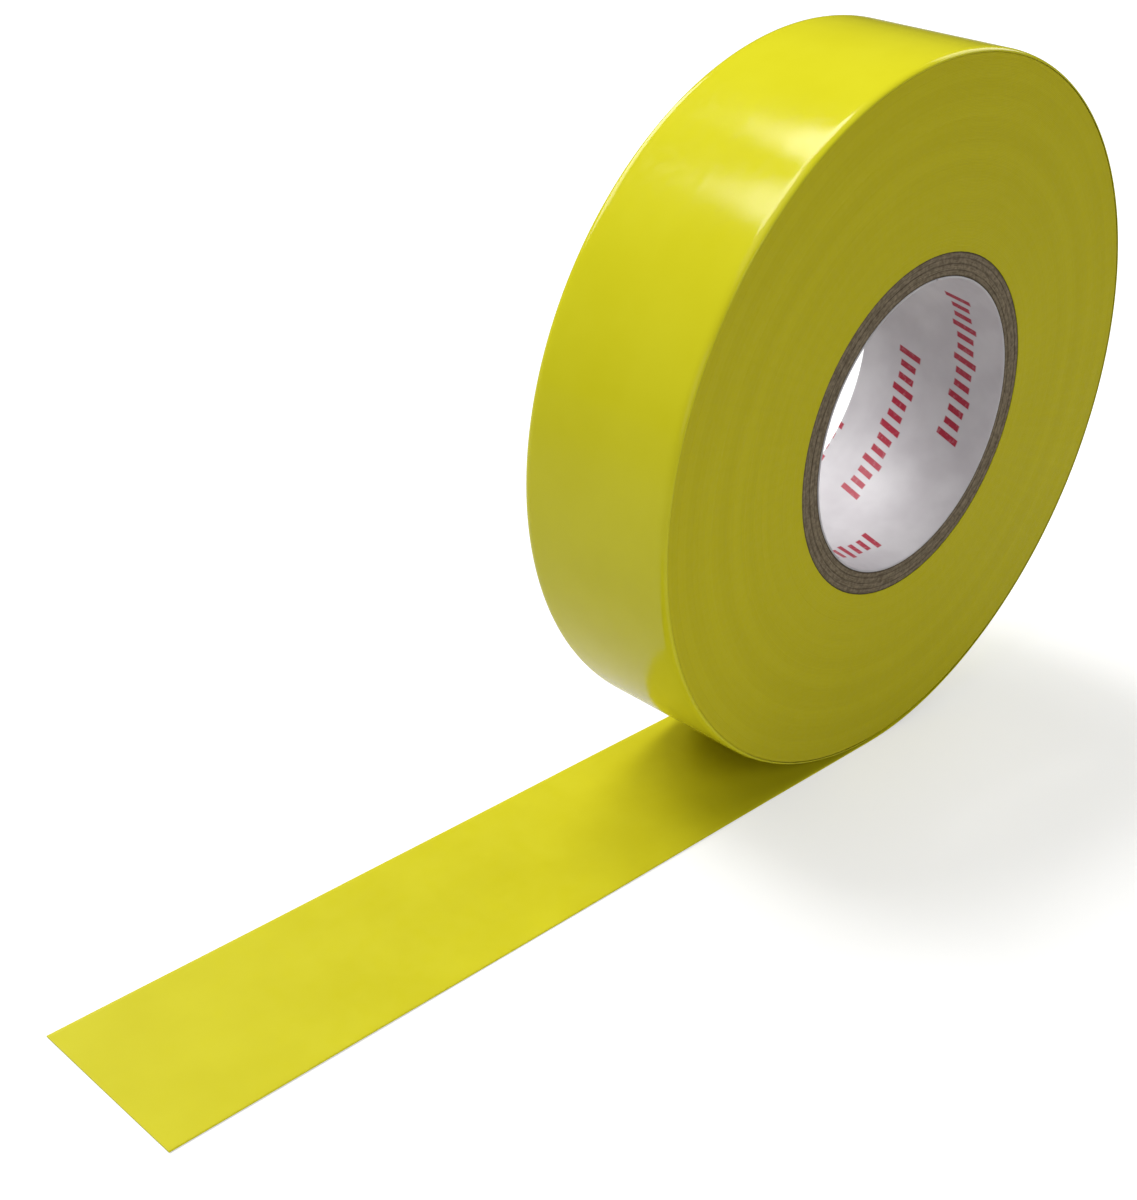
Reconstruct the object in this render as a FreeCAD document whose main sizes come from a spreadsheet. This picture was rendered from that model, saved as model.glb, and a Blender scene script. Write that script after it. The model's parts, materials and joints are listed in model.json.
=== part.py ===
import FreeCAD, Part
import math
import os

import Sketcher

# Electrical tape roll, standing on its edge with some of its tape drawn out flat.
# Millimetres. The origin is the centre of the core's bore and +Y runs along the bore.
# +Z is up, and the drawn-out tape lies towards -X, on the surface that the roll stands on.
# The tape winds film side out, so its adhesive faces up where it lies flat.

SIZES = {
    "tape_width": (19.0, "width of the tape, the core and the liner"),
    "film_thickness": (0.13, "PVC film"),
    "adhesive_thickness": (0.02, "rubber adhesive on the inner side of the film"),
    "roll_diameter": (78.8, "outside of a full roll: 25 m of tape"),
    "bore_diameter": (32.4, "clear bore inside the printed liner"),
    "liner_thickness": (0.2, "printed paper that lines the core"),
    "liner_seam_gap": (0.4, "gap where the liner's two ends meet"),
    "ply_thickness": (0.65, "one chipboard ply of the core"),
    "spin_clearance": (0.06, "radial play between the last turn and the turns below it"),
    "turn_end_gap": (0.5, "from the last turn's inner end to where the strip leaves"),
    "paid_out_length": (96.4, "from where the roll touches down to the cut end"),
    "strip_length": (22.0, "stretch next to the roll, which lengthens as tape is drawn"),
    "hinge_gap": (0.2, "slit between two neighbouring tail pieces"),
}
PLY_COUNT = 4
TAIL_COUNT = 6

document = FreeCAD.newDocument("tape_roll")
sheet = document.addObject("Spreadsheet::Sheet", "Sizes")
for row, (alias, (value, meaning)) in enumerate(SIZES.items(), start=1):
    sheet.set(f"A{row}", str(value))
    sheet.setAlias(f"A{row}", alias)
    sheet.set(f"B{row}", meaning)
document.recompute()

# Lengths worked out from the sheet, as expressions that the sketches and placements share.
TAPE_THICKNESS = "(Sizes.film_thickness + Sizes.adhesive_thickness)"
ROLL_RADIUS = "(Sizes.roll_diameter / 2)"
LINER_DIAMETER = "(Sizes.bore_diameter + 2 * Sizes.liner_thickness)"
CORE_DIAMETER = f"({LINER_DIAMETER} + {2 * PLY_COUNT} * Sizes.ply_thickness)"
# The last turn is a spiral of two half circles. The left half is centred on the bore and the
# right half is centred lower by half a tape thickness, so each turn steps in by one thickness.
SPIRAL_DROP = f"({TAPE_THICKNESS} / 2)"
GROUND_DEPTH = f"({ROLL_RADIUS} + {SPIRAL_DROP})"
PACK_DIAMETER = f"(Sizes.roll_diameter - 3 * {TAPE_THICKNESS} - 2 * Sizes.spin_clearance)"
TAIL_PITCH = f"((Sizes.paid_out_length - Sizes.strip_length) / {TAIL_COUNT})"

# Sketcher's numbers for the sketch's own origin and axes, and for a point of an edge.
ORIGIN = (-1, 1)
HORIZONTAL_AXIS = -1
VERTICAL_AXIS = -2
START, END, CENTRE = 1, 2, 3


def new_body(label):
    body = document.addObject("PartDesign::Body", label)
    body.Label = label
    return body


def sketch_on(body, role, name):
    """An empty sketch on one of the body's own origin planes."""
    sketch = body.newObject("Sketcher::SketchObject", name)
    plane = next(item for item in body.Origin.OriginFeatures if item.Role == role)
    sketch.AttachmentSupport = [(plane, "")]
    sketch.MapMode = "FlatFace"
    return sketch


def bind(sketch, name, constraint, expression):
    """Adds a dimension to the sketch and ties it to the sheet."""
    index = sketch.addConstraint(constraint)
    sketch.renameConstraint(index, name)
    sketch.setExpression(f"Constraints.{name}", expression)


def add_circle(sketch, name, diameter_expression, first_guess):
    """A full circle about the sketch's origin."""
    circle = Part.Circle(FreeCAD.Vector(0, 0, 0), FreeCAD.Vector(0, 0, 1), first_guess / 2)
    index = sketch.addGeometry(circle, False)
    sketch.addConstraint(Sketcher.Constraint("Coincident", index, CENTRE, *ORIGIN))
    diameter = Sketcher.Constraint("Diameter", index, first_guess)
    bind(sketch, name, diameter, diameter_expression)


def add_rectangle(sketch, corners, middle_axis):
    """A rectangle whose first side lies square across the middle axis, half on each side."""
    lines = []
    for index, corner in enumerate(corners):
        following = corners[(index + 1) % len(corners)]
        ends = [FreeCAD.Vector(*corner, 0), FreeCAD.Vector(*following, 0)]
        lines.append(sketch.addGeometry(Part.LineSegment(*ends), False))
    for index, line in enumerate(lines):
        following = lines[(index + 1) % len(lines)]
        sketch.addConstraint(Sketcher.Constraint("Coincident", line, END, following, START))
    first, second, third, fourth = lines
    ends = (first, START, first, END, middle_axis)
    sketch.addConstraint(Sketcher.Constraint("Symmetric", *ends))
    for side in (second, fourth):
        sketch.addConstraint(Sketcher.Constraint("Perpendicular", first, side))
    sketch.addConstraint(Sketcher.Constraint("Parallel", first, third))
    return lines


def pad(body, sketch, length_expression, symmetric):
    feature = body.newObject("PartDesign::Pad", f"{body.Name}_pad")
    feature.Profile = sketch
    feature.SideType = "Symmetric" if symmetric else "One side"
    feature.setExpression("Length", length_expression)
    return feature


def make_ring(label, inner_expression, outer_expression):
    """A tube along Y, as wide as the tape."""
    body = new_body(label)
    sketch = sketch_on(body, "XZ_Plane", f"{label}_section")
    add_circle(sketch, "inner", inner_expression, 30.0)
    add_circle(sketch, "outer", outer_expression, 60.0)
    pad(body, sketch, "Sizes.tape_width", symmetric=True)
    return body


def cut_liner_seam(body):
    """The liner is a strip of paper bent round, so its two ends meet in a slit at the top."""
    sketch = sketch_on(body, "XZ_Plane", "seam_section")
    low, high, half = 10.0, 20.0, 1.0
    corners = [(-half, low), (half, low), (half, high), (-half, high)]
    bottom, _, top, _ = add_rectangle(sketch, corners, VERTICAL_AXIS)
    gap = Sketcher.Constraint("DistanceX", bottom, START, bottom, END, 2 * half)
    bind(sketch, "gap", gap, "Sizes.liner_seam_gap")
    below = Sketcher.Constraint("DistanceY", *ORIGIN, bottom, START, low)
    bind(sketch, "below", below, "Sizes.bore_diameter / 4")
    above = Sketcher.Constraint("DistanceY", *ORIGIN, top, START, high)
    bind(sketch, "above", above, "Sizes.bore_diameter")
    pocket = body.newObject("PartDesign::Pocket", "seam")
    pocket.Profile = sketch
    pocket.SideType = "Symmetric"
    pocket.Type = "ThroughAll"


def make_outer_turn(label):
    """The last turn of tape: one spiral turn that leaves the roll level, along the ground."""
    body = new_body(label)
    sketch = sketch_on(body, "XZ_Plane", f"{label}_section")
    radius, thickness, gap = 40.0, 1.0, 2.0
    low_centre = (0.0, -thickness / 2)
    quarter = math.pi / 2

    def add_arc(centre, arc_radius, first_angle, last_angle):
        circle = Part.Circle(FreeCAD.Vector(*centre, 0), FreeCAD.Vector(0, 0, 1), arc_radius)
        return sketch.addGeometry(Part.ArcOfCircle(circle, first_angle, last_angle), False)

    last = 3 * quarter - gap / radius
    outer_right = add_arc(low_centre, radius, -quarter, quarter)
    outer_left = add_arc((0.0, 0.0), radius - thickness / 2, quarter, last)
    inner_left = add_arc((0.0, 0.0), radius - 3 * thickness / 2, quarter, last)
    inner_right = add_arc(low_centre, radius - thickness, -quarter, quarter)
    low_end = FreeCAD.Vector(0, low_centre[1] - radius, 0)
    high_end = FreeCAD.Vector(0, low_centre[1] - radius + thickness, 0)
    leaving_face = sketch.addGeometry(Part.LineSegment(high_end, low_end), False)
    inner_start = FreeCAD.Vector(-gap, -radius + thickness / 2, 0)
    inner_end = FreeCAD.Vector(-gap, -radius + 3 * thickness / 2, 0)
    inner_face = sketch.addGeometry(Part.LineSegment(inner_start, inner_end), False)

    coincident = [
        (outer_left, CENTRE, *ORIGIN),
        (inner_left, CENTRE, *ORIGIN),
        (inner_right, CENTRE, outer_right, CENTRE),
        (outer_right, END, outer_left, START),
        (inner_right, END, inner_left, START),
        (inner_right, START, leaving_face, START),
        (leaving_face, END, outer_right, START),
        (outer_left, END, inner_face, START),
        (inner_face, END, inner_left, END),
    ]
    for ends in coincident:
        sketch.addConstraint(Sketcher.Constraint("Coincident", *ends))
    on_upright = [
        (outer_right, CENTRE),
        (outer_right, START),
        (outer_right, END),
        (inner_right, START),
        (inner_right, END),
    ]
    for point in on_upright:
        sketch.addConstraint(Sketcher.Constraint("PointOnObject", *point, VERTICAL_AXIS))
    sketch.addConstraint(Sketcher.Constraint("Vertical", inner_face))
    drop = Sketcher.Constraint("DistanceY", outer_right, CENTRE, *ORIGIN, thickness / 2)
    bind(sketch, "drop", drop, SPIRAL_DROP)
    bind(sketch, "outside", Sketcher.Constraint("Radius", outer_right, radius), ROLL_RADIUS)
    inside = Sketcher.Constraint("Radius", inner_right, radius - thickness)
    bind(sketch, "inside", inside, f"{ROLL_RADIUS} - {TAPE_THICKNESS}")
    short = Sketcher.Constraint("DistanceX", inner_face, START, *ORIGIN, gap)
    bind(sketch, "short", short, "Sizes.turn_end_gap")
    pad(body, sketch, "Sizes.tape_width", symmetric=True)
    return body


def make_flat_layer(label, start_expression, length_expression, height_expression, thickness):
    """One flat layer of tape: film or adhesive. It runs from its start towards -X."""
    body = new_body(label)
    sketch = sketch_on(body, "XY_Plane", f"{label}_outline")
    far, half = -15.0, 10.0
    corners = [(0.0, -half), (0.0, half), (far, half), (far, -half)]
    start_edge, _, _, front_edge = add_rectangle(sketch, corners, HORIZONTAL_AXIS)
    sketch.addConstraint(Sketcher.Constraint("PointOnObject", start_edge, START, VERTICAL_AXIS))
    across = Sketcher.Constraint("DistanceY", start_edge, START, start_edge, END, 2 * half)
    bind(sketch, "across", across, "Sizes.tape_width")
    along = Sketcher.Constraint("DistanceX", front_edge, START, front_edge, END, -far)
    bind(sketch, "along", along, length_expression)
    pad(body, sketch, thickness, symmetric=False)
    body.setExpression(".Placement.Base.x", f"-({start_expression})")
    body.setExpression(".Placement.Base.z", f"-{GROUND_DEPTH} + {height_expression}")
    return body


def make_flat_tape(film_label, adhesive_label, start_expression, length_expression):
    """A stretch of flat tape: film on the ground and adhesive on top of it."""
    film = make_flat_layer(
        film_label, start_expression, length_expression, "0", "Sizes.film_thickness"
    )
    adhesive = make_flat_layer(
        adhesive_label,
        start_expression,
        length_expression,
        "Sizes.film_thickness",
        "Sizes.adhesive_thickness",
    )
    return [film, adhesive]


pieces = []

liner = make_ring("bore_liner", "Sizes.bore_diameter", LINER_DIAMETER)
cut_liner_seam(liner)
pieces.append(liner)

for ply in range(PLY_COUNT):
    inner = f"{LINER_DIAMETER} + {2 * ply} * Sizes.ply_thickness"
    outer = f"{LINER_DIAMETER} + {2 * (ply + 1)} * Sizes.ply_thickness"
    pieces.append(make_ring(f"core_ply_{ply + 1}", inner, outer))

pieces.append(make_ring("wound_tape", CORE_DIAMETER, PACK_DIAMETER))
pieces.append(make_outer_turn("outer_turn"))

pieces += make_flat_tape("strip_film", "strip_adhesive", "0", "Sizes.strip_length")
for tail in range(TAIL_COUNT):
    start = f"Sizes.strip_length + {tail} * {TAIL_PITCH} + Sizes.hinge_gap / 2"
    length = f"{TAIL_PITCH} - Sizes.hinge_gap / 2"
    if tail + 1 < TAIL_COUNT:
        length += " - Sizes.hinge_gap / 2"
    labels = (f"tail_film_{tail + 1}", f"tail_adhesive_{tail + 1}")
    pieces += make_flat_tape(*labels, start, length)

document.recompute()

for item in document.Objects:
    if {"Invalid", "Error"} & set(item.State):
        raise RuntimeError(f"{item.Label} failed: {item.State}")
for piece in pieces:
    if piece.Shape.isNull() or not piece.Shape.isValid() or len(piece.Shape.Solids) != 1:
        raise RuntimeError(f"{piece.Label} isn't one valid solid")

os.makedirs("parts", exist_ok=True)
for piece in pieces:
    piece.Shape.exportStep(f"parts/{piece.Label}.step")
    box = piece.Shape.BoundBox
    print(f"{piece.Label:16s} {piece.Shape.Volume:10.2f} mm3  x {box.XMin:8.3f} {box.XMax:8.3f}"
          f"  y {box.YMin:6.2f} {box.YMax:6.2f}  z {box.ZMin:8.3f} {box.ZMax:8.3f}")
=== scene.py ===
import json
import math

import bmesh
import bpy
import numpy as np
from mathutils import Matrix, Vector


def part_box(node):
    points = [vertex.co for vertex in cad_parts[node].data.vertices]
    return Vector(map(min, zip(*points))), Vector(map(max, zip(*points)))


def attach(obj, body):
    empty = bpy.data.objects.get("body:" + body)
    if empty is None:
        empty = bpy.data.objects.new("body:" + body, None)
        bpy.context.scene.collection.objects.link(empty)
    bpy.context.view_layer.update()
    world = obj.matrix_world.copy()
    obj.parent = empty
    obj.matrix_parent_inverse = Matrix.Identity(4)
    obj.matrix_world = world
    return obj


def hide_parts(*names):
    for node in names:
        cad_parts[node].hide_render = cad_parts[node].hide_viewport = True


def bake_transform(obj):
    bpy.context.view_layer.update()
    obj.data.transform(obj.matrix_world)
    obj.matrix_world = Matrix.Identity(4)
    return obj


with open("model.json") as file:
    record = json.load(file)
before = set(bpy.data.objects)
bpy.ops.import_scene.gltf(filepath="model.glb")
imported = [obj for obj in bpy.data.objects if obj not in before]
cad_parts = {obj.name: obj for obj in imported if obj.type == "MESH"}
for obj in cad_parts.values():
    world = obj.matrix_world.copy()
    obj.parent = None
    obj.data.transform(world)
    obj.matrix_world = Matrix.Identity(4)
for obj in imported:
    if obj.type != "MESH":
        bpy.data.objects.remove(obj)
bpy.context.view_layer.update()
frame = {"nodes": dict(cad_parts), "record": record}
mm = 0.001


# sizes, read from the frame
def outerRadius(node):
    low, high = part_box(node)
    return (high.x - low.x) / 2


def middleX(node):
    low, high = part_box(node)
    return (low.x + high.x) / 2


boreMount = next(m for m in frame["record"]["mounts"] if m["name"] == "core_bore")
boreRadius = boreMount["dims"]["r_mm"] * mm
linerRadius = outerRadius("bore_liner")
plyCount = sum(name.startswith("core_ply_") for name in frame["nodes"])
tailCount = sum(name.startswith("tail_film_") for name in frame["nodes"])
coreRadius = outerRadius(f"core_ply_{plyCount}")
packRadius = outerRadius("wound_tape")
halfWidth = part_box("wound_tape")[1].y
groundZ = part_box("strip_film")[0].z
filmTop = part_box("strip_film")[1].z - groundZ
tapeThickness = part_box("strip_adhesive")[1].z - groundZ
rollRadius = -groundZ - tapeThickness / 2
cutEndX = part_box(f"tail_film_{tailCount}")[0].x
tapeSize = f"{2 * halfWidth / mm:.1f} x {tapeThickness / mm:.2f} mm"
print(f"frame: roll {2 * rollRadius / mm:.1f} mm across, tape {tapeSize}")


# helpers shared by geometry trees and materials
def feed(tree, socket, value):
    if isinstance(value, bpy.types.NodeSocket):
        tree.links.new(value, socket)
    else:
        socket.default_value = value


def addNode(tree, kind, inputs=None, **settings):
    node = tree.nodes.new(kind)
    for name, value in settings.items():
        setattr(node, name, value)
    for name, value in (inputs or {}).items():
        feed(tree, node.inputs[name], value)
    return node


def mathsIn(tree):
    # returns a short way to write arithmetic on sockets and numbers
    def calc(operation, *values):
        node = addNode(tree, "ShaderNodeMath", operation=operation)
        for socket, value in zip(node.inputs, values):
            feed(tree, socket, value)
        return node.outputs[0]
    return calc


def addRamp(tree, value, low, high, toLow=0.0, toHigh=1.0, smooth=True):
    # maps value from low..high to toLow..toHigh, held at both ends
    node = addNode(tree, "ShaderNodeMapRange", clamp=True)
    node.interpolation_type = "SMOOTHSTEP" if smooth else "LINEAR"
    for socket, given in zip(node.inputs, (value, low, high, toLow, toHigh)):
        feed(tree, socket, given)
    return node.outputs[0]


def finishMesh(mesh, sharpDegrees=50):
    work = bmesh.new()
    work.from_mesh(mesh)
    bmesh.ops.remove_doubles(work, verts=work.verts, dist=2e-7)
    bmesh.ops.recalc_face_normals(work, faces=work.faces)
    work.to_mesh(mesh)
    work.free()
    mesh.shade_smooth()
    mesh.set_sharp_from_angle(angle=math.radians(sharpDegrees))
    mesh.update()


def newPiece(name, mesh):
    mesh.name = name
    piece = bpy.data.objects.new(name, mesh)
    bpy.context.scene.collection.objects.link(piece)
    return piece


def newMaterial(name, **fixed):
    material = bpy.data.materials.new(name)
    material.use_nodes = True
    tree = material.node_tree
    shader = tree.nodes["Principled BSDF"]
    for label, value in fixed.items():
        shader.inputs[label.replace("_", " ")].default_value = value
    return material, tree, shader


def noise(tree, where, scale, detail=2.0, roughness=0.5, **settings):
    inputs = {"Scale": scale, "Detail": detail, "Roughness": roughness}
    inputs["W" if settings.get("noise_dimensions") == "1D" else "Vector"] = where
    return addNode(tree, "ShaderNodeTexNoise", inputs, **settings).outputs[0]


def stretched(tree, where, scale):
    return addNode(tree, "ShaderNodeMapping", {"Vector": where, "Scale": scale}).outputs[0]


def mixColours(tree, share, first, second):
    node = addNode(tree, "ShaderNodeMix", data_type="RGBA")
    for socket, value in zip((node.inputs[0], node.inputs[6], node.inputs[7]), (share, first, second)):
        feed(tree, socket, value)
    return node.outputs[2]


def addBump(tree, height, distance, strength=1.0, after=None):
    inputs = {"Height": height, "Distance": distance, "Strength": strength}
    if after is not None:
        inputs["Normal"] = after
    return addNode(tree, "ShaderNodeBump", inputs).outputs[0]


def uvOf(tree):
    return addNode(tree, "ShaderNodeUVMap", uv_map="alongTape").outputs[0]


def polarOf(tree, calc):
    # radius and share of a full turn round the bore, from Object coordinates
    place = addNode(tree, "ShaderNodeTexCoord").outputs["Object"]
    split = addNode(tree, "ShaderNodeSeparateXYZ", {"Vector": place}).outputs
    radius = calc("SQRT", calc("ADD", calc("POWER", split["X"], 2), calc("POWER", split["Z"], 2)))
    # measured from the bottom, through -X, as the tape is wound
    turn = calc("ARCTAN2", calc("MULTIPLY", split["X"], -1), calc("MULTIPLY", split["Z"], -1))
    return place, radius, calc("FRACT", calc("DIVIDE", turn, 2 * math.pi))


filmLook = {
    "deep": (0.680, 0.635, 0.016, 1),
    "light": (0.700, 0.657, 0.020, 1),
    "roughness": (0.10, 0.15),
    "cloudScale": 120,
    "lineScale": (12, 900, 1),  # fine lines that run along the tape
    "waveScale": (60, 240, 1),
    "grainScale": 5200,
    "roughScale": 900,
    "waveDepth": 0.015 * mm,
    "lineDepth": 0.006 * mm,
    "grainDepth": 0.001 * mm,
}


def makeFilmMaterial():
    material, tree, shader = newMaterial("glossyYellowFilm", Specular_IOR_Level=0.2)
    look = filmLook
    place = uvOf(tree)
    cloud = noise(tree, place, look["cloudScale"], 3)
    lengthLines = noise(tree, stretched(tree, place, look["lineScale"]), 1, 3, 0.6)
    grain = noise(tree, place, look["grainScale"], 2)
    tint = addRamp(tree, cloud, 0.3, 0.7)
    feed(tree, shader.inputs["Base Color"], mixColours(tree, tint, look["deep"], look["light"]))
    rough = addRamp(tree, noise(tree, place, look["roughScale"], 4), 0.3, 0.7, *look["roughness"])
    feed(tree, shader.inputs["Roughness"], rough)
    waves = noise(tree, stretched(tree, place, look["waveScale"]), 1, 2)
    soft = addBump(tree, waves, look["waveDepth"], 0.5)
    lines = addBump(tree, lengthLines, look["lineDepth"], 0.5, soft)
    feed(tree, shader.inputs["Normal"], addBump(tree, grain, look["grainDepth"], 0.3, lines))
    return material


edgeLook = {
    "deep": (0.615, 0.545, 0.013, 1),
    "light": (0.650, 0.580, 0.016, 1),
    # painted shade: the colour that the grooves between turns are darkened towards
    "groove": (0.330, 0.290, 0.008, 1),
    "roughness": (0.48, 0.66),
    "grooveShare": 0.16,  # of a turn's thickness, each side of the line between turns
    "grooveShadeStrength": 0.35,
    "cloudScale": 70,
    "roughScale": 1500,
    "markScale": 2600,
    "markDepth": 0.012 * mm,
}


def makeEdgeMaterial():
    # the slit edges of the wound turns, seen on the flat sides of the roll
    material, tree, shader = newMaterial("slitTapeEdges", Specular_IOR_Level=0.12)
    calc = mathsIn(tree)
    look = edgeLook
    place, radius, share = polarOf(tree, calc)
    turns = calc("SUBTRACT", calc("DIVIDE", radius, tapeThickness), share)
    perTurn = noise(tree, turns, 0.9, 2, noise_dimensions="1D")
    slow = noise(tree, turns, 0.07, 3, noise_dimensions="1D")
    cloud = noise(tree, place, look["cloudScale"], 3)
    # a third from each turn, the rest from slower changes
    slowTint = calc("MULTIPLY_ADD", slow, 0.4, calc("MULTIPLY", cloud, 0.25))
    tint = calc("MULTIPLY_ADD", perTurn, 0.35, slowTint)
    body = mixColours(tree, addRamp(tree, tint, 0.36, 0.64), look["deep"], look["light"])
    # painted shade darkens the slit edges in the grooves between turns
    fromGroove = calc("PINGPONG", calc("SUBTRACT", turns, coreRadius / tapeThickness), 0.5)
    paintedGrooveShade = addRamp(tree, fromGroove, 0.0, look["grooveShare"], look["grooveShadeStrength"], 0.0)
    feed(tree, shader.inputs["Base Color"], mixColours(tree, paintedGrooveShade, body, look["groove"]))
    rough = addRamp(tree, noise(tree, place, look["roughScale"], 3), 0.3, 0.7, *look["roughness"])
    feed(tree, shader.inputs["Roughness"], rough)
    slitMarks = addBump(tree, noise(tree, place, look["markScale"], 3), look["markDepth"], 0.6)
    feed(tree, shader.inputs["Normal"], slitMarks)
    return material


adhesiveLook = {
    "deep": (0.560, 0.513, 0.012, 1),
    "light": (0.585, 0.540, 0.016, 1),
    "roughness": (0.34, 0.50),
    "cloudScale": 110,
    "jerkScale": (1400, 18, 1),
    "tackScale": 2400,
    "roughScale": 700,
    "jerkDepth": 0.005 * mm,
    "tackDepth": 0.006 * mm,
}


def makeAdhesiveMaterial():
    material, tree, shader = newMaterial("clearRubberAdhesive", Specular_IOR_Level=0.12)
    look = adhesiveLook
    place = uvOf(tree)
    cloud = noise(tree, place, look["cloudScale"], 3)
    # drawing the tape off in small jerks leaves faint lines straight across it
    jerks = noise(tree, stretched(tree, place, look["jerkScale"]), 1, 3, 0.6)
    tint = addRamp(tree, cloud, 0.3, 0.7)
    feed(tree, shader.inputs["Base Color"], mixColours(tree, tint, look["deep"], look["light"]))
    rough = addRamp(tree, noise(tree, place, look["roughScale"], 4), 0.3, 0.7, *look["roughness"])
    feed(tree, shader.inputs["Roughness"], rough)
    tack = addBump(tree, noise(tree, place, look["tackScale"], 3), look["tackDepth"], 0.5)
    feed(tree, shader.inputs["Normal"], addBump(tree, jerks, look["jerkDepth"], 0.5, tack))
    return material


boardLook = {
    "deep": (0.140, 0.108, 0.066, 1),
    "light": (0.305, 0.245, 0.165, 1),
    # colour of the glue lines between plies, and of the painted shade at the core's two faces
    "glue": (0.050, 0.038, 0.025, 1),
    "roughness": (0.78, 0.95),
    "glueAndShadeReach": 0.45,  # share of the ply darkened at full strength, by glue lines and by painted shade
    "paintedFaceShade": 0.95,  # strength of the painted shade at the wall's two faces
    "glueBetween": 0.40,  # strength of the glue line between two plies
    "fibresRound": 60,
    "fibreScale": 9000,
    "fleckScale": 2200,
    "coarseScale": 1100,
    "fibreDepth": 0.03 * mm,
    "coarseDepth": 0.05 * mm,
}


def makeBoardMaterial(inner, outer, name, innerGlueAndShade, outerGlueAndShade):
    material, tree, shader = newMaterial(name, Specular_IOR_Level=0.2)
    calc = mathsIn(tree)
    look = boardLook
    place, radius, share = polarOf(tree, calc)
    unrolled = {"X": calc("MULTIPLY", share, look["fibresRound"]), "Y": radius}
    turned = addNode(tree, "ShaderNodeCombineXYZ", unrolled).outputs[0]
    fibres = noise(tree, stretched(tree, turned, (1, look["fibreScale"], 1)), 1, 4, 0.6)
    flecks = noise(tree, place, look["fleckScale"], 4, 0.6)
    tint = calc("MULTIPLY_ADD", fibres, 0.5, calc("MULTIPLY", flecks, 0.5))
    body = mixColours(tree, addRamp(tree, tint, 0.36, 0.66), look["deep"], look["light"])
    across = addRamp(tree, radius, inner, outer, 0.0, 1.0, smooth=False)
    # glue lines darken the edges between plies; at the core's inner and outer faces the darkening is
    # painted shade
    nearInner = addRamp(tree, across, 0.0, look["glueAndShadeReach"] * innerGlueAndShade, innerGlueAndShade, 0.0)
    nearOuter = addRamp(tree, across, 1 - look["glueAndShadeReach"] * outerGlueAndShade, 1.0, 0.0, outerGlueAndShade)
    glue = calc("MAXIMUM", nearInner, nearOuter)
    feed(tree, shader.inputs["Base Color"], mixColours(tree, glue, body, look["glue"]))
    feed(tree, shader.inputs["Roughness"], addRamp(tree, flecks, 0.3, 0.7, *look["roughness"]))
    coarse = addBump(tree, noise(tree, place, look["coarseScale"], 3), look["coarseDepth"], 0.7)
    feed(tree, shader.inputs["Normal"], addBump(tree, fibres, look["fibreDepth"], 0.6, coarse))
    return material


linerLook = {
    "paper": (0.650, 0.630, 0.645, 1),
    "shade": (0.560, 0.535, 0.555, 1),
    "ink": (0.400, 0.008, 0.035, 1),
    "roughness": (0.38, 0.50),
    "rowPitch": 7.4 * mm,  # across the paper, from one row of marks to the next
    "firstRow": -4.4 * mm,
    "rowHeight": 3.0 * mm,
    "rowShift": 10.4 * mm,  # each row starts this much further round
    "firstMark": 13.6 * mm,  # from the seam, along the paper
    "groupPitch": 34.2 * mm,
    "groupLength": 19.6 * mm,
    "barPitch": 1.50 * mm,
    "barShare": 0.50,
    "slant": 0.30,
    "shortBar": 0.72,  # height of the low bars, as a share of the tall ones
    "blur": 0.10 * mm,
    "inkCover": (0.82, 0.97),  # thin and full
    "inkScale": 1700,
    "cloudScale": 160,
    "roughScale": 800,
    "rippleScale": (150, 60, 1),
    "grainScale": 3000,
    "rippleDepth": 0.12 * mm,
    "grainDepth": 0.004 * mm,
}


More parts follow.
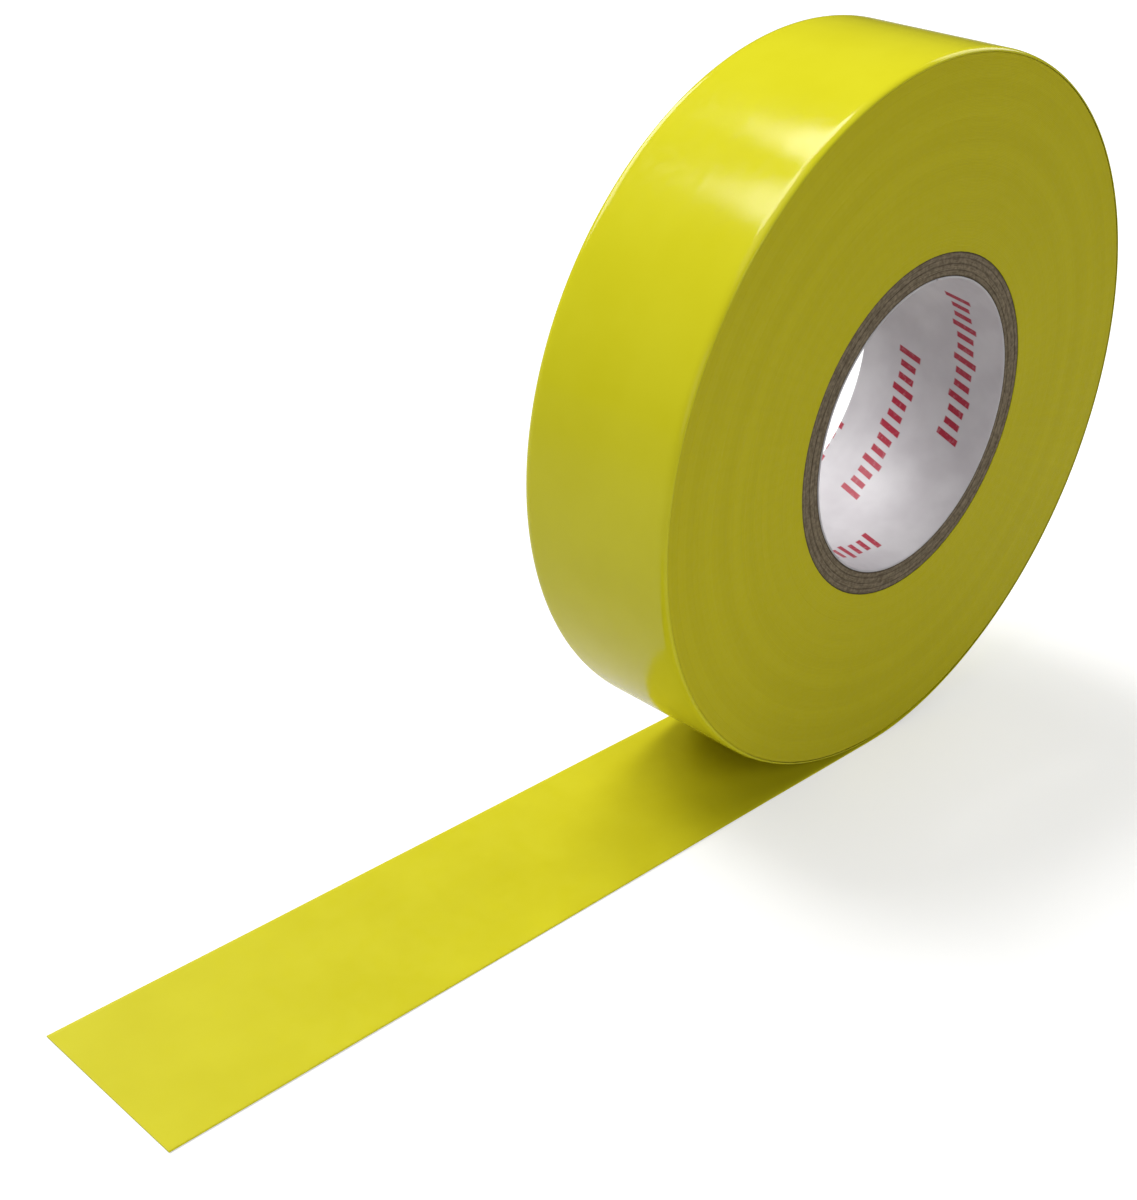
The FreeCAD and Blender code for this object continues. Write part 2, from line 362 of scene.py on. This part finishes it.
def makeLinerMaterial():
    # glossy paper printed with rows of plain slanted bars
    material, tree, shader = newMaterial("printedLinerPaper", Specular_IOR_Level=0.3)
    calc = mathsIn(tree)
    look = linerLook
    place = uvOf(tree)
    split = addNode(tree, "ShaderNodeSeparateXYZ", {"Vector": place}).outputs
    rows = calc("DIVIDE", calc("SUBTRACT", split["Y"], look["firstRow"]), look["rowPitch"])
    row = calc("ROUND", rows)
    across = calc("MULTIPLY", calc("SUBTRACT", rows, row), look["rowPitch"])
    fromFirst = calc("SUBTRACT", split["X"], look["firstMark"])
    along = calc("SUBTRACT", fromFirst, calc("MULTIPLY", row, look["rowShift"]))
    along = calc("MULTIPLY_ADD", across, look["slant"], along)
    inGroup = calc("WRAP", along, look["groupPitch"], 0.0)
    bars = calc("DIVIDE", inGroup, look["barPitch"])
    bar = calc("FLOOR", bars)
    blur = look["blur"]
    # every third bar stands taller than its neighbours
    low = calc("GREATER_THAN", calc("FRACT", calc("MULTIPLY", bar, 0.3334)), 0.2)
    tall = 0.5 * look["rowHeight"]
    half = calc("MULTIPLY_ADD", low, (look["shortBar"] - 1) * tall, tall)
    inRow = addRamp(tree, calc("SUBTRACT", calc("ABSOLUTE", across), half), -blur, blur, 1.0, 0.0)
    fromMiddle = calc("ABSOLUTE", calc("SUBTRACT", calc("FRACT", bars), 0.5))
    barEdge = 0.5 * look["barShare"] * look["barPitch"]
    fromBar = calc("MULTIPLY", fromMiddle, look["barPitch"])
    inBar = addRamp(tree, fromBar, barEdge - blur / 2, barEdge + blur / 2, 1.0, 0.0)
    within = calc("LESS_THAN", inGroup, look["groupLength"])
    patchy = addRamp(tree, noise(tree, place, look["inkScale"], 3), 0.28, 0.5, *look["inkCover"])
    printed = calc("MULTIPLY", calc("MULTIPLY", inRow, inBar), calc("MULTIPLY", within, patchy))
    cloud = addRamp(tree, noise(tree, place, look["cloudScale"], 3), 0.3, 0.7)
    paper = mixColours(tree, cloud, look["paper"], look["shade"])
    feed(tree, shader.inputs["Base Color"], mixColours(tree, printed, paper, look["ink"]))
    rough = addRamp(tree, noise(tree, place, look["roughScale"], 3), 0.3, 0.7, *look["roughness"])
    feed(tree, shader.inputs["Roughness"], rough)
    waves = noise(tree, stretched(tree, place, look["rippleScale"]), 1, 2)
    ripples = addBump(tree, waves, look["rippleDepth"], 0.5)
    grain = noise(tree, place, look["grainScale"], 3)
    feed(tree, shader.inputs["Normal"], addBump(tree, grain, look["grainDepth"], 0.5, ripples))
    return material


filmMaterial = makeFilmMaterial()
edgeMaterial = makeEdgeMaterial()
adhesiveMaterial = makeAdhesiveMaterial()
linerMaterial = makeLinerMaterial()
print("materials: film, slit edges, adhesive and liner ready")


def newTree(name, inputs):
    tree = bpy.data.node_groups.new(name, "GeometryNodeTree")
    tree.is_modifier = True
    face = tree.interface
    face.new_socket("Geometry", in_out="INPUT", socket_type="NodeSocketGeometry")
    for label, value in inputs.items():
        kind = "NodeSocketInt" if isinstance(value, int) else "NodeSocketFloat"
        face.new_socket(label, in_out="INPUT", socket_type=kind).default_value = value
    face.new_socket("Geometry", in_out="OUTPUT", socket_type="NodeSocketGeometry")
    return tree, addNode(tree, "NodeGroupInput").outputs, addNode(tree, "NodeGroupOutput").inputs[0]


def runTree(tree, name, values):
    # gives the modifier its inputs, then keeps the evaluated result as a plain mesh
    piece = newPiece(name, bpy.data.meshes.new(name))
    modifier = piece.modifiers.new(name, "NODES")
    modifier.node_group = tree
    sockets = {item.name: item.identifier for item in tree.interface.items_tree if item.in_out == "INPUT"}
    for label, value in values.items():
        modifier[sockets[label]] = value
    graph = bpy.context.evaluated_depsgraph_get()
    mesh = bpy.data.meshes.new_from_object(piece.evaluated_get(graph))
    piece.modifiers.clear()
    piece.data = mesh
    mesh.name = name
    if mesh.materials and mesh.materials[0] is None:
        mesh.materials.pop(index=0)  # the empty slot that the tree starts from
    return piece


def loopOfRows(tree, calc, rowsPerSide, segments):
    # a grid whose rows run out over the front face and back over the rear one, and whose
    # columns run once round: gives the grid, the row's step from the bore, its side and its turn share
    columns = calc("ADD", segments, 1)
    rows = calc("MULTIPLY_ADD", rowsPerSide, 2, 1)
    counts = {"Vertices X": rows, "Vertices Y": columns}
    grid = addNode(tree, "GeometryNodeMeshGrid", counts).outputs["Mesh"]
    index = addNode(tree, "GeometryNodeInputIndex").outputs[0]
    row = calc("FLOOR", calc("DIVIDE", index, columns))
    share = calc("DIVIDE", calc("SUBTRACT", index, calc("MULTIPLY", row, columns)), segments)
    inFront = calc("LESS_THAN", row, calc("SUBTRACT", rowsPerSide, 0.5))
    closing = calc("GREATER_THAN", row, calc("MULTIPLY_ADD", rowsPerSide, 2, -0.5))
    behind = calc("SUBTRACT", calc("SUBTRACT", 1, inFront), closing)
    mirrored = calc("SUBTRACT", calc("MULTIPLY_ADD", rowsPerSide, 2, -1), row)
    step = calc("ADD", calc("MULTIPLY", inFront, row), calc("MULTIPLY", behind, mirrored))
    side = calc("MULTIPLY_ADD", behind, 2, -1)
    return grid, step, side, share


def placeRound(tree, calc, grid, radius, y, share):
    # x and z go round from the bottom, through -X, as the tape is wound
    angle = calc("MULTIPLY", share, 2 * math.pi)
    x = calc("MULTIPLY", calc("SINE", angle), calc("MULTIPLY", radius, -1))
    z = calc("MULTIPLY", calc("COSINE", angle), calc("MULTIPLY", radius, -1))
    place = addNode(tree, "ShaderNodeCombineXYZ", {"X": x, "Y": y, "Z": z}).outputs[0]
    moved = addNode(tree, "GeometryNodeSetPosition", {"Geometry": grid, "Position": place}).outputs[0]
    merged = addNode(tree, "GeometryNodeMergeByDistance", {"Geometry": moved, "Distance": 1e-6}).outputs[0]
    return addNode(tree, "GeometryNodeRealizeInstances", {"Geometry": merged}).outputs[0]


def facingAlongBore(tree, calc):
    normal = addNode(tree, "GeometryNodeInputNormal").outputs[0]
    split = addNode(tree, "ShaderNodeSeparateXYZ", {"Vector": normal}).outputs
    return calc("GREATER_THAN", calc("ABSOLUTE", split["Y"]), 0.5)


windings = {
    "Inner radius": coreRadius,
    "Outer radius": packRadius,
    "Half width": halfWidth,
    "Tape thickness": tapeThickness,
    "Segments": 96,
    "Groove share": edgeLook["grooveShare"],
    "Groove depth": 0.012 * mm,
    "Wander": 0.012 * mm,  # how far a turn may lie to one side
    "Wander rate": 0.35,  # new sideways places per turn
    "Shoulder width": 1.0 * mm,  # the roll's rounded edge, across the tape
    "Shoulder drop": 0.36 * mm,  # and towards the bore
    "Seed": 7,
}


def makeWindingsTree():
    tree, given, result = newTree("spiralWindings", windings)
    calc = mathsIn(tree)
    perTurn = 3  # one point in the groove and two on the tape's own edge
    depth = calc("SUBTRACT", given["Outer radius"], given["Inner radius"])
    limit = calc("DIVIDE", depth, given["Tape thickness"])
    turnCount = calc("CEIL", limit)
    rowsPerSide = calc("MULTIPLY_ADD", calc("ADD", turnCount, 1), perTurn, 1)
    grid, step, side, share = loopOfRows(tree, calc, rowsPerSide, given["Segments"])
    turn = calc("FLOOR", calc("DIVIDE", calc("ADD", step, 0.5), perTurn))
    point = calc("SUBTRACT", step, calc("MULTIPLY", turn, perTurn))
    flat = calc("MULTIPLY_ADD", given["Groove share"], -2, 1)
    along = calc("MULTIPLY_ADD", calc("SUBTRACT", point, 1), flat, given["Groove share"])
    within = calc("MULTIPLY", calc("GREATER_THAN", point, 0.5), along)
    started = calc("ADD", calc("SUBTRACT", turn, 1), share)
    wound = calc("MINIMUM", calc("MAXIMUM", calc("ADD", started, within), 0), limit)
    radius = calc("MULTIPLY_ADD", wound, given["Tape thickness"], given["Inner radius"])
    phase = calc("FRACT", calc("SUBTRACT", wound, share))
    fromGroove = calc("MINIMUM", phase, calc("SUBTRACT", 1, phase))
    groove = addRamp(tree, fromGroove, 0.0, given["Groove share"], 1.0, 0.0, smooth=False)
    tapeAt = calc("MINIMUM", calc("MAXIMUM", started, 0), limit)
    noiseAt = calc("MULTIPLY_ADD", tapeAt, given["Wander rate"], calc("MULTIPLY", given["Seed"], 13.7))
    unsteady = noise(tree, noiseAt, 1.0, 2, noise_dimensions="1D")
    sideways = calc("MULTIPLY", calc("MULTIPLY_ADD", unsteady, 2, -1), given["Wander"])
    # the outermost turns draw in along a quarter of an ellipse
    fallen = calc("DIVIDE", calc("SUBTRACT", given["Outer radius"], radius), given["Shoulder drop"])
    height = calc("SUBTRACT", 1, calc("MINIMUM", fallen, 1))
    reached = calc("SQRT", calc("SUBTRACT", 1, calc("MULTIPLY", height, height)))
    recess = calc("MULTIPLY", calc("SUBTRACT", 1, reached), given["Shoulder width"])
    lost = calc("ADD", calc("MULTIPLY", groove, given["Groove depth"]), recess)
    reach = calc("SUBTRACT", calc("SUBTRACT", given["Half width"], given["Wander"]), lost)
    y = calc("MULTIPLY_ADD", side, reach, sideways)
    body = placeRound(tree, calc, grid, radius, y, share)
    body = addNode(tree, "GeometryNodeSetMaterial", {"Geometry": body, "Material": filmMaterial}).outputs[0]
    ends = {"Geometry": body, "Selection": facingAlongBore(tree, calc), "Material": edgeMaterial}
    feed(tree, result, addNode(tree, "GeometryNodeSetMaterial", ends).outputs[0])
    return tree


def makeWindings():
    piece = runTree(makeWindingsTree(), "tapeWindings", windings)
    finishMesh(piece.data, 60)
    addTapeUv(piece.data)
    return piece


def addTapeUv(mesh):
    # along the tape and across it, for the film's own pattern
    layer = mesh.uv_layers.new(name="alongTape")
    co = np.zeros(len(mesh.vertices) * 3, np.float32)
    mesh.vertices.foreach_get("co", co)
    co = co.reshape(-1, 3)
    corner = np.zeros(len(mesh.loops), np.int32)
    mesh.loops.foreach_get("vertex_index", corner)
    angle = np.arctan2(-co[:, 0], -co[:, 2]) % (2 * math.pi)
    uv = np.stack([angle * packRadius, co[:, 1]], 1)[corner]
    layer.data.foreach_set("uv", uv.astype(np.float32).ravel())


board = {
    "Inner radius": linerRadius,
    "Outer radius": coreRadius,
    "Half width": halfWidth,
    "Segments": 180,
    "Rows": 9,  # points across the ply's cut face
    "Edge drop": 0.05 * mm,  # the knife rounds each ply's two edges
    "Fray": 0.06 * mm,
    "Recess": 0.0,
    "Seed": 1,
}
plyRecess = (0.04 * mm, 0.01 * mm, 0.05 * mm, 0.02 * mm)


def makeBoardTree():
    tree, given, result = newTree("cutBoardPly", board)
    calc = mathsIn(tree)
    grid, step, side, share = loopOfRows(tree, calc, given["Rows"], given["Segments"])
    across = calc("DIVIDE", step, calc("SUBTRACT", given["Rows"], 1))
    thickness = calc("SUBTRACT", given["Outer radius"], given["Inner radius"])
    radius = calc("MULTIPLY_ADD", across, thickness, given["Inner radius"])
    fromMiddle = calc("ABSOLUTE", calc("MULTIPLY_ADD", across, 2, -1))
    rounded = calc("MULTIPLY", calc("POWER", fromMiddle, 5), given["Edge drop"])
    angle = calc("MULTIPLY", share, 2 * math.pi)
    shifted = calc("MULTIPLY_ADD", given["Seed"], 0.31, side)
    ring = {"X": calc("MULTIPLY", calc("SINE", angle), radius), "Y": shifted,
            "Z": calc("MULTIPLY", calc("COSINE", angle), radius)}
    place = addNode(tree, "ShaderNodeCombineXYZ", ring).outputs[0]
    torn = calc("MULTIPLY", noise(tree, place, 1500, 3, 0.6), given["Fray"])
    lost = calc("ADD", calc("ADD", rounded, torn), given["Recess"])
    y = calc("MULTIPLY", side, calc("SUBTRACT", given["Half width"], lost))
    body = placeRound(tree, calc, grid, radius, y, share)
    feed(tree, result, addNode(tree, "GeometryNodeSetMaterial", {"Geometry": body}).outputs[0])
    return tree


def makePlies():
    tree = makeBoardTree()
    plies = []
    inner = linerRadius
    for number in range(1, plyCount + 1):
        outer = outerRadius(f"core_ply_{number}")
        values = dict(board, Seed=number, Recess=plyRecess[(number - 1) % len(plyRecess)])
        values.update({"Inner radius": inner, "Outer radius": outer})
        ply = runTree(tree, f"corePly{number}", values)
        ply.data.materials.clear()
        # the core's two faces get painted shade, the joints between plies get glue lines
        innerGlueAndShade = boardLook["paintedFaceShade" if number == 1 else "glueBetween"]
        outerGlueAndShade = boardLook["paintedFaceShade" if number == plyCount else "glueBetween"]
        name = f"greyBoard{number}"
        ply.data.materials.append(makeBoardMaterial(inner, outer, name, innerGlueAndShade, outerGlueAndShade))
        finishMesh(ply.data, 60)
        plies.append(ply)
        inner = outer
    return plies


# ribbons are a cross-section swept along a path in the XZ plane
def bandSection(half, low, high, corner, across, steps=3, edgeBand=0.0):
    # a closed loop of (y, height) with rounded corners, upper face first
    line = np.linspace(-half + corner, half - corner, across)
    if edgeBand:
        extra = np.linspace(half - edgeBand, half - corner, 9)[:-1]
        line = np.unique(np.concatenate([line, extra, -extra]).round(9))
    points = [(y, high) for y in line]
    corners = (
        (half - corner, high - corner, math.pi / 2),
        (half - corner, low + corner, 0.0),
    )
    for y, h, first in corners:
        for n in range(1, steps + 1):
            a = first - n * math.pi / 2 / steps
            points.append((y + corner * math.cos(a), h + corner * math.sin(a)))
    points += [(y, low) for y in line[::-1][1:]]
    corners = (
        (-half + corner, low + corner, -math.pi / 2),
        (-half + corner, high - corner, math.pi),
    )
    for y, h, first in corners:
        for n in range(1, steps + 1):
            a = first - n * math.pi / 2 / steps
            points.append((y + corner * math.cos(a), h + corner * math.sin(a)))
    return points[:-1]


def sweep(name, stations, section, shift=None):
    # stations are (x, z, upX, upZ, along); shift(along, y, h) moves a point along its up
    points = []
    uv = []
    for x, z, upX, upZ, along in stations:
        for y, h in section:
            raised = h + (shift(along, y, h) if shift else 0.0)
            points.append((x + upX * raised, y, z + upZ * raised))
            uv.append((along, y))
    size = len(section)
    faces = []
    for n in range(len(stations) - 1):
        for k in range(size):
            here = n * size + k
            beside = n * size + (k + 1) % size
            faces.append((here, beside, beside + size, here + size))
    faces.append(tuple(range(size)))
    last = (len(stations) - 1) * size
    faces.append(tuple(last + k for k in reversed(range(size))))
    mesh = bpy.data.meshes.new(name)
    mesh.from_pydata(points, [], faces)
    layer = mesh.uv_layers.new(name="alongTape")
    for loop in mesh.loops:
        layer.data[loop.index].uv = uv[loop.vertex_index]
    finishMesh(mesh, 50)
    return newPiece(name, mesh)


lastTurn = {
    "stations": 320,
    "across": 44,
    "corner": 0.05 * mm,
    "ripple": 0.0015 * mm,
    "inset": 0.01 * mm,
    "startGap": 0.5 * mm,  # from the turn's inner end to where the strip leaves
    "settle": 0.7,  # radians over which its edges come down onto the roll's rounded ones
}


def makeLastTurn():
    # two half circles whose centres are half a tape thickness apart, as on the CAD part
    values = lastTurn
    filmOut = tapeThickness
    leftRadius = -groundZ - 2 * tapeThickness  # inner face of the left half
    rightRadius = leftRadius + tapeThickness / 2
    first = math.asin(values["startGap"] / leftRadius)
    stations = []
    for n in range(values["stations"] + 1):
        angle = first + (2 * math.pi - first) * n / values["stations"]
        isLeft = angle <= math.pi
        radius = leftRadius if isLeft else rightRadius
        drop = 0.0 if isLeft else tapeThickness / 2
        out = Vector((-math.sin(angle), -math.cos(angle)))
        along = -(2 * math.pi - angle) * rightRadius
        stations.append((out.x * radius, out.y * radius - drop, out.x, out.y, -along))

    def shape(along, y, h):
        turned = along / rightRadius  # 0 where the strip leaves
        settled = min(1.0, turned / values["settle"])
        fade = settled ** 2 * (3 - 2 * settled)
        # follows the roll's rounded edge, except where it leaves the roll flat
        shoulder = windings["Shoulder width"]
        beyond = max(0.0, abs(y) - (halfWidth - shoulder)) / shoulder
        droop = windings["Shoulder drop"] * (math.sqrt(max(0.0, 1 - 0.98 * beyond ** 2)) - 1)
        bands = math.sin(2 * math.pi * y / (6.3 * mm) + 0.9 * math.sin(turned * 2.0))
        bands += 0.6 * math.sin(2 * math.pi * y / (2.9 * mm) + 1.3 + 0.7 * math.sin(turned * 3.0))
        return fade * (droop + values["ripple"] * (bands - 1.6) * h / filmOut)

    half = halfWidth - values["inset"]
    section = bandSection(half, 0.0, filmOut, values["corner"], values["across"],
                          edgeBand=windings["Shoulder width"])
    piece = sweep("lastTurn", stations, section, shape)
    piece.data.materials.append(filmMaterial)
    return piece


liner = {
    "stations": 200,
    "across": 40,
    "corner": 0.05 * mm,
    "ripple": 0.035 * mm,
    "inset": 0.03 * mm,  # the paper stops this far short of the roll's flat sides
    "slit": 0.4 * mm,  # between the paper's two ends
}


def makeLiner():
    values = liner
    gap = values["slit"] / linerRadius  # as an angle
    thickness = linerRadius - boreRadius
    stations = []
    for n in range(values["stations"] + 1):
        angle = gap / 2 + (2 * math.pi - gap) * n / values["stations"]
        out = Vector((math.sin(angle), math.cos(angle)))  # from the top, through +X
        stations.append((out.x * linerRadius, out.y * linerRadius, -out.x, -out.y, angle * boreRadius))

    def shape(along, y, h):
        turned = along / boreRadius
        wave = math.sin(3 * turned + 0.8) * math.cos(y / (5.5 * mm) + turned)
        wave += 0.7 * math.sin(7 * turned + y / (4.0 * mm))
        edge = 1 - (abs(y) / halfWidth) ** 4
        return values["ripple"] * (0.4 * wave - 0.6) * edge * h / thickness

    half = halfWidth - values["inset"]
    section = bandSection(half, 0.0, thickness, values["corner"], values["across"])
    piece = sweep("printedLiner", stations, section, shape)
    piece.data.materials.append(linerMaterial)
    return piece


tail = {
    "step": 0.5 * mm,  # between stations
    "across": 40,
    "corner": 0.03 * mm,
    "glueCorner": 0.006 * mm,
    "filmInset": 0.01 * mm,
    "glueInset": 0.06 * mm,  # the adhesive stops this far short of the roll's width
    "lift": 0.10 * mm,  # the most that the laid tape lies off the surface
    "liftStart": 3 * mm,  # from where the strip leaves the roll
    "liftRise": 25 * mm,
    "leaveReach": 1 * mm,  # next to the roll
    "bendReach": 6 * mm,
}


def tailLift(along, y, h):
    # low waves with no lift where the strip leaves the roll; along is x here
    start = min(1.0, max(0.0, (-along - tail["liftStart"]) / tail["liftRise"]))
    rise = start * start * (3 - 2 * start)
    wave = math.sin(-along / (9.5 * mm)) * math.cos(y / (7.0 * mm) + 0.6)
    wave += 0.7 * math.sin(-along / (5.1 * mm) + y / (6.0 * mm) + 1.0)
    edge = (y / halfWidth) ** 2
    curled = edge * (1 + math.sin(-along / (12 * mm))) / 2
    return tail["lift"] * rise * (0.22 * (wave + 1.7) * 0.6 + 0.35 * curled)


def makeTail():
    # each sheet runs from the middle of one tail piece to the middle of the next
    values = tail
    splits = [0.0] + [middleX(f"tail_film_{n}") for n in range(1, tailCount)] + [cutEndX]
    films = []
    glues = []
    for number, (startX, endX) in enumerate(zip(splits, splits[1:])):
        count = max(2, round((startX - endX) / values["step"]))
        stations = []
        for n in range(count + 1):
            x = startX + (endX - startX) * n / count
            stations.append((x, groundZ, 0.0, 1.0, x))
        filmSection = bandSection(halfWidth - values["filmInset"], 0.0, filmTop,
                                  values["corner"], values["across"])
        glueSection = bandSection(halfWidth - values["glueInset"], filmTop, tapeThickness,
                                  values["glueCorner"], values["across"])
        film = sweep(f"tailFilm{number + 1}", stations, filmSection, tailLift)
        film.data.materials.append(filmMaterial)
        films.append(film)
        glue = sweep(f"tailAdhesive{number + 1}", stations, glueSection, tailLift)
        glue.data.materials.append(adhesiveMaterial)
        glues.append(glue)
    return splits, films, glues


tapeWindings = makeWindings()
print(f"tape windings: {len(tapeWindings.data.polygons)} faces")
corePlies = makePlies()
print(f"core: {len(corePlies)} plies")
lastTurnPiece = makeLastTurn()
linerPiece = makeLiner()
tailSplits, tailFilms, tailGlues = makeTail()
print(f"last turn, liner and {len(tailFilms)} stretches of drawn-out tape ready")


def joinTape(sheets, layer):
    # the first sheet also covers the stretch next to the roll
    for number, piece in enumerate(sheets, start=1):
        if number == 1:
            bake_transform(piece)
            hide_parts(f"strip_{layer}", f"tail_{layer}_1")
            continue
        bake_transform(piece)
        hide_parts(f"tail_{layer}_{number}")


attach(tapeWindings, "roll")
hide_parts("wound_tape")
for number, ply in enumerate(corePlies, start=1):
    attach(ply, "roll")
    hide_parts(f"core_ply_{number}")
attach(linerPiece, "roll")
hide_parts("bore_liner")
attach(lastTurnPiece, "paid_out_strip")
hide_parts("outer_turn")
joinTape(tailFilms, "film")
joinTape(tailGlues, "adhesive")
print("pieces joined to their bodies")


floorLook = {
    "size": 6.0,
    "below": 0.02 * mm,
    "reach": (0.08, 0.30),  # metres from the bore, over which the table darkens
    "shade": (0.62, 0.22),  # near and far
    "glow": (0.50, 0.95),  # near and far; seen by the camera alone, so that shadows stay pale
}


def makeFloor():
    material, tree, shader = newMaterial("paleFloor", Specular_IOR_Level=0.1, Roughness=0.7)
    calc = mathsIn(tree)
    place = addNode(tree, "ShaderNodeTexCoord").outputs["Object"]
    away = addNode(tree, "ShaderNodeVectorMath", {0: place}, operation="LENGTH").outputs["Value"]
    mottle = addRamp(tree, noise(tree, place, 3, 2), 0.3, 0.7, 0.97, 1.0)
    paleness = calc("MULTIPLY", mottle, addRamp(tree, away, *floorLook["reach"], *floorLook["shade"]))
    colour = addNode(tree, "ShaderNodeCombineColor", {"Red": paleness, "Green": paleness, "Blue": paleness})
    feed(tree, shader.inputs["Base Color"], colour.outputs[0])
    shader.inputs["Emission Color"].default_value = (1, 1, 1, 1)
    seen = addNode(tree, "ShaderNodeLightPath").outputs["Is Camera Ray"]
    glow = addRamp(tree, away, *floorLook["reach"], *floorLook["glow"])
    feed(tree, shader.inputs["Emission Strength"], calc("MULTIPLY", seen, glow))
    half = floorLook["size"] / 2
    z = groundZ - floorLook["below"]
    mesh = bpy.data.meshes.new("floor")
    corners = [(-half, -half, z), (half, -half, z), (half, half, z), (-half, half, z)]
    mesh.from_pydata(corners, [], [(0, 1, 2, 3)])
    mesh.materials.append(material)
    floor = newPiece("floor", mesh)


lights = {
    # direction from the roll, distance, width, height, watts, shape
    "firstUmbrella": ((0.085, 0.44, 0.894), 1.5, 0.52, 0.52, 7.6, "DISK"),
    "secondUmbrella": ((-0.27, 0.45, 0.85), 1.5, 0.52, 0.52, 7.6, "DISK"),
    "overhead": ((-0.10, 0.0, 1.0), 1.6, 1.4, 1.4, 1.5, "RECTANGLE"),
    "backPanel": ((0.0, 1.0, 0.62), 1.6, 1.2, 0.5, 12, "RECTANGLE"),
    "frontPanel": ((-0.2, -1.0, 0.6), 1.6, 1.2, 0.8, 7.6, "RECTANGLE"),
    "leftPanel": ((-0.45, 0.15, 0.88), 1.6, 1.0, 1.0, 3.8, "RECTANGLE"),
    "lowLeftPanel": ((-1.0, -0.25, 0.25), 1.6, 1.2, 0.7, 3.0, "RECTANGLE"),
    "rightPanel": ((1.0, 0.0, 0.6), 1.6, 1.2, 0.8, 7, "RECTANGLE"),
}


roomLook = {
    "fill": 0.03,  # the light that the room itself gives
    "backdrop": 1.0,  # what the camera sees of it
}


def makeLights():
    for name, (direction, distance, width, height, watts, shape) in lights.items():
        lamp = bpy.data.lights.new(name, "AREA")
        lamp.shape = shape
        lamp.size = width
        lamp.size_y = height
        lamp.energy = watts
        holder = bpy.data.objects.new(name, lamp)
        away = Vector(direction).normalized()
        holder.location = away * distance
        holder.rotation_euler = away.to_track_quat("Z", "Y").to_euler()
        bpy.context.scene.collection.objects.link(holder)
    world = bpy.data.worlds.new("studio")
    world.use_nodes = True
    tree = world.node_tree
    room = tree.nodes["Background"]
    room.inputs["Color"].default_value = (1, 1, 1, 1)
    room.inputs["Strength"].default_value = roomLook["fill"]
    white = {"Color": (1, 1, 1, 1), "Strength": roomLook["backdrop"]}
    backdrop = addNode(tree, "ShaderNodeBackground", white)
    seen = addNode(tree, "ShaderNodeLightPath").outputs["Is Camera Ray"]
    both = addNode(tree, "ShaderNodeMixShader")
    for socket, value in zip(both.inputs, (seen, room.outputs[0], backdrop.outputs[0])):
        tree.links.new(value, socket)
    tree.links.new(both.outputs[0], tree.nodes["World Output"].inputs["Surface"])
    bpy.context.scene.world = world
    bpy.context.scene.view_settings.view_transform = "Standard"


camera = {
    "azimuth": -46.49,
    "elevation": 28.23,
    "roll": 3.10,
    "distance": 0.180,
    "target": (-0.0424, -0.0004, -0.0098),  # metres, in the middle of roll and tape
    "lens": 55.70,
}


def makeCamera():
    azimuth, elevation, roll = (math.radians(camera[k]) for k in ("azimuth", "elevation", "roll"))
    back = Vector((math.sin(azimuth) * math.cos(elevation), -math.cos(azimuth) * math.cos(elevation),
                   math.sin(elevation)))
    level = Vector((0, 0, 1)).cross(back).normalized()
    upright = back.cross(level)
    right = math.cos(roll) * level + math.sin(roll) * upright
    top = math.cos(roll) * upright - math.sin(roll) * level
    data = bpy.data.cameras.new("camera")
    data.lens = camera["lens"]
    data.sensor_width = 36
    data.clip_start = 0.01
    holder = bpy.data.objects.new("camera", data)
    turn = Matrix((right, top, back)).transposed().to_4x4()
    holder.matrix_world = Matrix.Translation(Vector(camera["target"]) + back * camera["distance"]) @ turn
    bpy.context.scene.collection.objects.link(holder)
    bpy.context.scene.camera = holder


makeFloor()
makeLights()
makeCamera()
print("floor, lights and camera ready")
